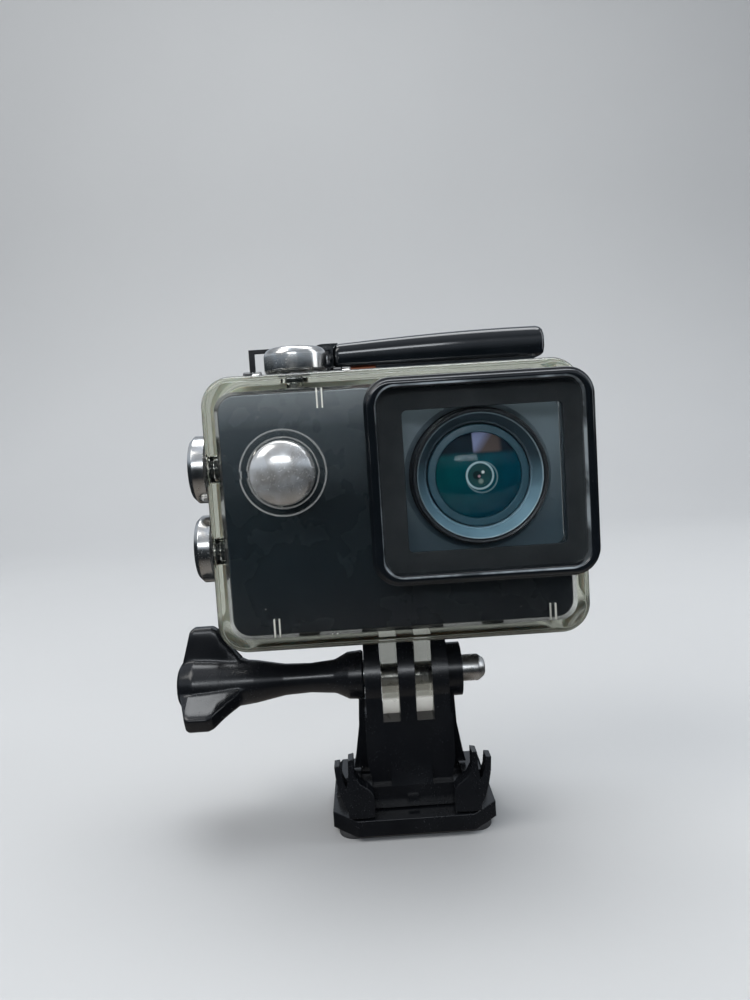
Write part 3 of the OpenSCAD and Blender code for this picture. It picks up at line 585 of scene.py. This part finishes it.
MATERIALS = {
    "clear_plastic": clear_plastic("clear_plastic", (0.72, 0.73, 0.63)),
    "window_glass": window_glass(),
    "coated_glass": lens_coating(),
    "gloss_black": gloss_black(),
    "black_plastic": worn("black_plastic", (0.004, 0.0045, 0.006), (0.008, 0.009, 0.011),
                          (0.18, 0.28), grain=(0.35, 0.006), dust=0.26, scratch=0.68,
                          scratch_tone=(0.04, 0.042, 0.046)),
    "faceplate": faceplate_panel(),
    "camera_case": worn("camera_case", (0.006, 0.007, 0.009), (0.012, 0.014, 0.016),
                        (0.34, 0.48), grain=(0.18, 0.008), scratch=0.75),
    "grey_plastic": ring_grey(),
    "chrome": turned_metal("chrome", 0.64, (0.13, 0.24), "front_button"),
    "steel": turned_metal("steel", 0.72, (0.24, 0.36)),
    "black_rubber": worn("black_rubber", (0.002, 0.0045, 0.006), (0.004, 0.008, 0.010),
                         (0.5, 0.7), grain=(0.2, 0.02)),
    "pale_rubber": worn("pale_rubber", (0.42, 0.41, 0.36), (0.56, 0.55, 0.49), (0.4, 0.55),
                        grain=(0.3, 0.01), Subsurface_Weight=0.2),
    "orange_plastic": worn("orange_plastic", (0.26, 0.065, 0.022), (0.36, 0.10, 0.035),
                           (0.35, 0.5), grain=(0.3, 0.012)),
    "foam_tape": worn("foam_tape", (0.03, 0.03, 0.031), (0.06, 0.06, 0.062), (0.75, 0.95),
                      patch=2, grain=(0.4, 0.12)),
    "circuit_board": circuit_board(),
    "sensor": worn("sensor", (0.02, 0.04, 0.035), (0.05, 0.07, 0.09), (0.08, 0.15), patch=2),
    "battery_wrap": worn("battery_wrap", (0.30, 0.31, 0.30), (0.38, 0.39, 0.38), (0.25, 0.4)),
    "display": worn("display", (0.015, 0.017, 0.02), (0.03, 0.033, 0.036), (0.2, 0.3)),
    "display_glass": worn("display_glass", (0.004, 0.004, 0.005), (0.008, 0.008, 0.01),
                          (0.04, 0.10), patch=12, grain=(0.5, 0.001), dust=0.29,
                          Coat_Weight=1.0, Coat_Roughness=0.03),
}


def look(node):
    return MATERIALS[SLOTS[node]]


# ---------------------------------------------------------------- stage


def make_camera():
    """Stands a little above the lens, slightly left of the clamp, with a small roll."""
    pitch, yaw, roll = (math.radians(a) for a in (4.33, 0.66, 3.56))
    data = bpy.data.cameras.new("camera")
    data.sensor_width = 36
    data.lens = 27.2
    data.clip_start = 0.01
    camera = bpy.data.objects.new("camera", data)
    camera.matrix_world = (
        Matrix.Translation((-0.0053, -0.1419, 0.0710))
        @ Matrix.Rotation(-yaw, 4, "Z") @ Matrix.Rotation(-pitch, 4, "X")
        @ Matrix.Rotation(roll, 4, "Y") @ Matrix.Rotation(math.radians(90), 4, "X"))
    bpy.context.scene.collection.objects.link(camera)
    bpy.context.scene.camera = camera


def area_light(name, place, target, size, power, colour=(1, 1, 1)):
    data = bpy.data.lights.new(name, "AREA")
    data.shape = "RECTANGLE"
    data.size, data.size_y = size
    data.energy = power
    data.color = colour
    light = bpy.data.objects.new(name, data)
    light.location = place
    light.rotation_euler = (Vector(target) - Vector(place)).to_track_quat("-Z", "Y").to_euler()
    bpy.context.scene.collection.objects.link(light)


def make_stage():
    """A pale floor that curves up into a pale wall, far behind the object.

    The strip in front of the object is a piece of its own, so that glossy black parts and the
    clear walls mirror the dim room instead of it."""
    seam = -0.14  # the two pieces meet here, under the camera
    rear = soften([(seam, 0), (0.75, 0, 0.35), (0.75, 1.8)], steps=16)
    floors = []
    for name, outline in (("floor", rear), ("floor_front", [(-2.2, 0), (-1.2, 0), (seam, 0)])):
        bm = bmesh.new()
        grid = [[bm.verts.new((x, y / MM, z / MM)) for y, z in outline]
                for x in np.linspace(-2500, 2500, 9)]
        for a, b in zip(grid, grid[1:]):
            for i in range(len(outline) - 1):
                bm.faces.new((a[i], b[i], b[i + 1], a[i + 1]))
        floors.append(make_object(name, bm))
    s = Surface("floor_paint")
    cloud = s.noise(320, 4.0)
    s.set("Base Color", s.mix(cloud, (0.50, 0.50, 0.50, 1), (0.58, 0.58, 0.575, 1)))
    s.set("Roughness", s.ramp(s.noise(40, 3.0), 0.55, 0.75))
    s.set("Normal", s.bump(s.noise(2.0, 3.0), 0.05, 0.3))
    for floor in floors:
        floor.data.materials.append(s.material)
        floor.visible_glossy = False
    floors[1].visible_transmission = False


def make_world():
    """Dim room light: dark below the horizon, a soft grey-blue band above it, then a ceiling.

    The camera itself sees an even pale backdrop past the floor's edge."""
    world = bpy.data.worlds.new("room")
    world.use_nodes = True
    bpy.context.scene.world = world
    tree = world.node_tree
    place = tree.nodes.new("ShaderNodeTexCoord").outputs["Generated"]
    parts = tree.nodes.new("ShaderNodeSeparateXYZ")
    tree.links.new(place, parts.inputs[0])
    height = tree.nodes.new("ShaderNodeMapRange")
    tree.links.new(parts.outputs["Z"], height.inputs["Value"])
    height.inputs["From Min"].default_value = -0.9
    height.inputs["From Max"].default_value = 0.9
    ramp = tree.nodes.new("ShaderNodeValToRGB")
    tree.links.new(height.outputs["Result"], ramp.inputs["Fac"])
    stops = ramp.color_ramp.elements
    stops[0].color = (0.30, 0.28, 0.26, 1)
    stops[1].color = (0.75, 0.80, 0.88, 1)
    for at, tone in ((0.17, (0.16, 0.15, 0.14, 1)), (0.26, (0.02, 0.023, 0.027, 1)),
                     (0.56, (0.025, 0.032, 0.038, 1)), (0.61, (0.50, 0.57, 0.65, 1)),
                     (0.68, (0.70, 0.76, 0.84, 1)), (0.77, (0.36, 0.40, 0.45, 1))):
        stops.new(at).color = tone
    seen = tree.nodes.new("ShaderNodeMix")
    seen.data_type = "RGBA"
    tree.links.new(tree.nodes.new("ShaderNodeLightPath").outputs["Is Camera Ray"], seen.inputs[0])
    tree.links.new(ramp.outputs["Color"], seen.inputs[6])
    seen.inputs[7].default_value = (0.72, 0.75, 0.78, 1)
    back = tree.nodes["Background"]
    tree.links.new(seen.outputs[2], back.inputs["Color"])
    back.inputs["Strength"].default_value = 0.8


make_camera()
make_world()
make_stage()
area_light("key", (-0.55, -0.35, 0.75), (0, 0, 0.06), (0.5, 0.5), 3.2, (1.0, 0.98, 0.95))
area_light("top", (0.05, 0.15, 0.85), (0, 0, 0.06), (0.8, 0.4), 4.2, (0.95, 0.98, 1.0))
area_light("side", (0.6, -0.1, 0.35), (0, 0, 0.06), (0.2, 0.6), 0.9, (0.92, 0.96, 1.0))
area_light("front", (-0.12, -0.95, 0.42), (0, 0, 0.06), (0.5, 0.13), 1.5, (0.92, 0.96, 1.0))
area_light("wall_wash", (0.0, 0.30, 1.3), (0, 0.75, 0.5), (1.6, 0.3), 1.9)
bpy.context.scene.view_settings.view_transform = "Standard"

# ---------------------------------------------------------------- housing


def housing_shell():
    """The clear front shell, with the long roll along its front edge."""
    lo, hi = mm_box("front_shell")
    bezel_hi = mm_box("lens_bezel")[1]
    front = bezel_hi.y
    half = (hi.x - lo.x) / 2
    door_lo, door_hi = mm_box("door_gasket")
    bottom, top = door_lo.z - 0.5, door_hi.z + 0.5

    def outer_front(p):
        rim = min(half - abs(p.x), p.z - bottom, top - p.z)
        corner = math.hypot(max(abs(p.x) - half + 5, 0), max(p.z - top + 5, bottom + 5 - p.z, 0))
        return abs(p.y - front) < 0.15 and (rim < 0.05 or corner > 4.9)

    bm = cad_copy("front_shell")
    round_edges(bm, 1.1, 5, 30, outer_front)
    round_edges(bm, 0.22, 2, 30)
    obj = make_object("front_shell_skin", bm)
    obj.modifiers.new("normals", "WEIGHTED_NORMAL").keep_sharp = True
    obj.visible_shadow = False
    return settle(obj, look("front_shell"), "front_shell")


def port_bezel():
    """The black frame round the window, stepped outside and rounded in front."""
    lo, hi = mm_box("lens_bezel")
    w, h = hi.x - lo.x, hi.z - lo.z
    back, front = -hi.y, -lo.y
    seal_back = -mm_box("window_seal")[1].y
    pane_lo, pane_hi = mm_box("lens_window")
    pane_w = pane_hi.x - pane_lo.x
    outline = soften([
        (0, back, 0), (0, front - 1.3, 0.35), (-0.5, front - 1.15, 0.12), (-0.55, front, 0.6),
        (-1.85, front, 0.55), (-(w - pane_w) / 2 + 0.08, front - 1.4, 0.2),
        (-(w - pane_w) / 2 + 0.08, seal_back, 0)], steps=5)
    rings = [rect_ring(w + 2 * o, h + 2 * o, 4.5 + o, z, 12) for o, z in outline]
    hole = (pane_w - 6, pane_hi.z - pane_lo.z - 6.5, 1.2)
    rings.append(rect_ring(*hole, seal_back, 12, (0.5, -0.1)))
    rings.append(rect_ring(*hole, back, 12, (0.5, -0.1)))
    bm = facing(skin(rings, closed=True), (lo.x + hi.x) / 2, (lo.z + hi.z) / 2)
    return settle(make_object("bezel_frame", bm, 50), look("lens_bezel"), "lens_bezel")


def port_window():
    """The flat glass, its arrised edge catching the light."""
    lo, hi = mm_box("lens_window")
    w, h = hi.x - lo.x, hi.z - lo.z
    outline = [(-0.3, -hi.y), (0, -hi.y + 0.3), (0, -lo.y - 0.3), (-0.3, -lo.y)]
    rings = [rect_ring(w + 2 * o, h + 2 * o, 3 + o, z, 12) for o, z in outline]
    bm = facing(skin(rings), (lo.x + hi.x) / 2, (lo.z + hi.z) / 2)
    obj = settle(make_object("window_pane", bm, 20), look("lens_window"), "lens_window")
    obj.visible_shadow = False
    return obj


housing_shell()
port_bezel()
port_window()
carve("window_seal", look("window_seal"), 0.12, 2)
door = carve("rear_door", look("rear_door"), 0.4)
door.visible_shadow = False
carve("door_gasket", look("door_gasket"), 0.2)

# ---------------------------------------------------------------- buttons

DIRECTIONS = {"front_button": (0, -1, 0), "top_button": (0, 0, 1),
              "upper_side_button": (-1, 0, 0), "lower_side_button": (-1, 0, 0)}


def push_button(node, outline_of_cap):
    """A turned cap with its stem, laid along the button's own axis."""
    lo, hi = mm_box(node)
    out = Vector(DIRECTIONS[node])
    centre = (lo + hi) / 2
    length = abs((hi - lo).dot(out))
    base = centre - out * length / 2
    radius = max(abs((hi - lo).dot(Vector(v))) for v in ((1, 0, 0), (0, 1, 0), (0, 0, 1))
                 if abs(out.dot(Vector(v))) < 0.5) / 2
    outline = soften(outline_of_cap(radius, length), steps=6)
    bm = aim(lathe(outline, 96), base, out)
    return settle(make_object(node + "_cap", bm, 55), look(node), node)


def cap_skirt(radius, length, height):
    """Stem and hollow underside, up to the cap's lower rim."""
    rim = length - height
    return [(0, 0), (1.5, 0, 0.2), (1.5, length - 1.6, 0.3), (radius - 0.8, length - 1.6, 0.3),
            (radius - 0.8, rim, 0.1)]


def domed_cap(radius, length):
    edge = length - 2.05
    rise = [(radius * math.sin(a), edge - 0.02 + 2.07 * math.cos(a))
            for a in (math.radians(d) for d in range(78, -1, -6))]
    return cap_skirt(radius, length, 3.5) + [
        (radius - 0.15, length - 3.5, 0.1), (radius, length - 3.3, 0.1),
        (radius, edge - 0.1, 0.3)] + rise


def flat_cap(radius, length):
    return cap_skirt(radius, length, 4.4) + [
        (radius - 0.35, length - 4.5, 0.15), (radius, length - 4.1, 0.2)] + [
        (radius - 1.6 + 1.6 * math.cos(a), length - 1.6 + 1.6 * math.sin(a))
        for a in (math.radians(d) for d in range(0, 91, 10))] + [(0, length)]


def side_cap(radius, length):
    return cap_skirt(radius, length, 3.4) + [
        (radius - 0.5, length - 3.5, 0.1), (radius, length - 3.0, 0.1), (radius, length - 0.9, 0.2),
        (radius - 0.85, length - 0.05, 0.2), (radius - 1.5, length, 0.2),
        (radius - 1.9, length - 0.25, 0.2), (0, length - 0.25)]


push_button("front_button", domed_cap)
push_button("top_button", flat_cap)
push_button("upper_side_button", side_cap)
push_button("lower_side_button", side_cap)
for button in DIRECTIONS:
    spring = frame["nodes"][button + "_spring"]
    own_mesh(spring)

# ---------------------------------------------------------------- lens


def lens_part(name, node, outline, count=128, smooth=40):
    """A turned piece on the lens axis; the outline is (radius, distance towards the front)."""
    centre = middle("lens_front_element")
    bm = facing(lathe(soften(outline, steps=4), count), centre.x, centre.z)
    return settle(make_object(name, bm, smooth), look(node), node)


lens_part("lens_mount_ring", "lens_housing", [
    (9.3, 9.8), (9.3, 14.5, 0.1), (10.6, 16.75, 0.1), (10.7, 17.2, 0.1), (11.05, 17.35, 0.1),
    (11.35, 16.9, 0.1), (11.4, 12.06), (10.9, 12.06), (10.9, 9.8), (9.3, 9.8)])
lens_part("lens_cone_ring", "lens_trim_ring", [
    (8.75, 13.0), (8.75, 14.0, 0.1), (8.85, 14.4, 0.05), (9.15, 14.5, 0.1), (10.35, 16.75, 0.1),
    (10.48, 16.98, 0.05), (10.52, 16.8, 0.05), (9.3, 14.4), (9.2, 13.0), (8.75, 13.0)])
lens_part("lens_retainer_ring", "lens_retainer", [
    (7.25, 10.0), (7.25, 14.85, 0.08), (7.35, 14.97, 0.05), (8.45, 14.85, 0.1), (8.58, 14.6, 0.08),
    (8.6, 13.9, 0.05), (8.6, 10.0), (7.25, 10.0)])


def front_element():
    """Domed glass; its material shows the rings of the elements behind it, painted bright as
    highlights, along with painted reflections, glints and shade.
    """
    lo, hi = mm_box("lens_front_element")
    radius = (hi.x - lo.x) / 2
    front, back = -lo.y, -hi.y
    ball = 16.0
    rise = [(r, front - ball + math.sqrt(ball ** 2 - r ** 2))
            for r in (radius * i / 24 for i in range(24, -1, -1))]
    return lens_part("lens_glass_dome", "lens_front_element",
                     [(0, back), (radius, back)] + rise, 128, 30)


front_element()
carve("lens_surround", look("lens_surround"), 0.12, 2)
carve("camera_faceplate", look("camera_faceplate"), 0.55, 4)
carve("camera_front_cover", look("camera_front_cover"), 0.3)
carve("camera_rear_cover", look("camera_rear_cover"), 0.5)

# ---------------------------------------------------------------- latch


def lever():
    """The long glossy lever: a rounded bar with an arched back, and its hub."""
    hi = mm_box("latch_lever")[1]
    pin = middle("lever_pin")
    front = 5  # the bar's front face lies this far behind the clamp screw
    start, end = pin.x + 2.1, hi.x
    y_mid, y_half = (front + hi.y) / 2, (hi.y - front) / 2
    rings = []
    ends = [(0, 0.55), (0.25, 0.82), (0.7, 0.95), (1.4, 1.0)]
    stations = [(start + d, k) for d, k in ends]
    stations += [(x, 1.0) for x in np.linspace(start + 2.4, end - 2.2, 22)]
    stations += [(end - d, k) for d, k in reversed(ends)]
    for x, k in stations:
        t = (x - start) / (end - start)
        top = pin.z + 2.3 + 1.38 * math.sin(math.radians(105 * t))
        bottom = pin.z - 2.35
        z_mid, z_half = (top + bottom) / 2, (top - bottom) / 2 * k
        inset = (1 - k) * 1.6
        outline = soften([
            (y_mid - y_half + inset, z_mid - z_half, 0.9),
            (y_mid + y_half - inset, z_mid - z_half, 0.9),
            (y_mid + y_half - inset, z_mid + z_half, 2.5),
            (y_mid - y_half + inset, z_mid + z_half, 3.4)],
            closed=True, steps=6)
        rings.append([(x, y, z) for y, z in outline])
    bar = skin(rings)
    hub = cad_copy("latch_lever")
    beyond = [v for v in hub.verts if v.co.x > start + 1.5]
    bmesh.ops.delete(hub, geom=beyond, context="VERTS")
    spare = bpy.data.meshes.new("hub")
    round_edges(hub, 0.25, 2).to_mesh(spare)
    hub.free()
    bar.from_mesh(spare)
    bpy.data.meshes.remove(spare)
    return settle(make_object("lever_bar", bar, 40), look("latch_lever"), "latch_lever")


lever()
carve("latch_hook", look("latch_hook"), 0.22)
carve("latch_lock", look("latch_lock"), 0.3)

# ---------------------------------------------------------------- clamp and stand


def thumb_knob():
    """Three paddle-like wings on a waisted shaft that ends in a collar."""
    lo, hi = mm_box("thumb_knob")
    pin = middle("thumb_bolt")
    end, face = lo.x, hi.x
    half = 1.85  # half a wing's thickness
    first = math.radians(-5)  # the first wing's angle
    shaft = soften([(end, 3.4), (end + 0.5, 4.3, 0.5), (end + 3, 5.2, 2), (end + 7.8, 4.8, 3),
                    (end + 10.9, 4.4, 3), (end + 14.4, 4.0, 3), (end + 19.9, 2.95, 4),
                    (end + 24.8, 2.75, 4), (end + 29.5, 3.15, 2), (end + 32.0, 4.4, 1.2),
                    (face - 0.25, 4.6, 0.3), (face, 4.35)])
    wing = soften([(end, 2), (end + 0.5, 3.6, 0.4), (end + 2.5, 10.5, 1), (end + 3.2, 11, 0.8),
                   (end + 6.6, 11, 0.8), (end + 7.5, 10.4, 1), (end + 9.4, 7.6, 2),
                   (end + 11.7, 4.9, 1.5), (end + 12.9, 2), (face, 2)])
    places = sorted({round(x, 3) for x, r in shaft + wing})
    rings = []
    for x in places:
        core = float(np.interp(x, *zip(*shaft)))
        reach = float(np.interp(x, *zip(*wing)))
        ring = []
        for i in range(360):
            a = 2 * math.pi * i / 360
            third = 2 * math.pi / 3
            side = math.sin((a - first + third / 2) % third - third / 2)
            flank = (reach ** -9 + (half / max(abs(side), 0.01)) ** -9) ** (-1 / 9)
            r = min((core ** 14 + flank ** 14) ** (1 / 14), max(core, reach))
            ring.append((x, pin.y - r * math.sin(a), pin.z + r * math.cos(a)))
        rings.append(ring)
    obj = make_object("knob_wings", skin(rings), 42)
    return settle(obj, look("thumb_knob"), "thumb_knob")


def clamp_bolt():
    """The steel screw: a rounded tip, then a fine thread under the nut, then the shank."""
    lo, hi = mm_box("thumb_bolt")
    pin = middle("thumb_bolt")
    outline = [(0, 0), (1.75, 0, 0.1), (1.75, 4.6), (2.48, 4.7)]
    first, pitch, turns = 15.6, 0.8, 9
    for i in range(turns):
        z = first + i * pitch
        outline += [(2.48, z), (2.22, z + pitch * 0.5)]
    top = hi.x - lo.x
    outline += [(2.48, first + turns * pitch, 0.1), (2.5, top - 1.3, 0.9),
                (1.5, top - 0.05, 0.9), (0, top)]
    bm = aim(lathe(soften(outline, steps=5), 72), (lo.x, pin.y, pin.z), (1, 0, 0))
    return settle(make_object("bolt_turned", bm, 25), look("thumb_bolt"), "thumb_bolt")


thumb_knob()
clamp_bolt()
carve("quick_release_buckle", look("quick_release_buckle"), 0.35)
carve("base_plate", look("base_plate"), 0.45)
carve("release_arm_left", look("release_arm_left"), 0.35)
carve("release_arm_right", look("release_arm_right"), 0.35)
carve("clamp_nut", look("clamp_nut"), 0.25)
carve("adhesive_pad", look("adhesive_pad"), 0.15, 2)

# ---------------------------------------------------------------- the rest of the CAD nodes

for name, obj in frame["nodes"].items():
    obj.data.materials.clear()
    obj.data.materials.append(look(name))
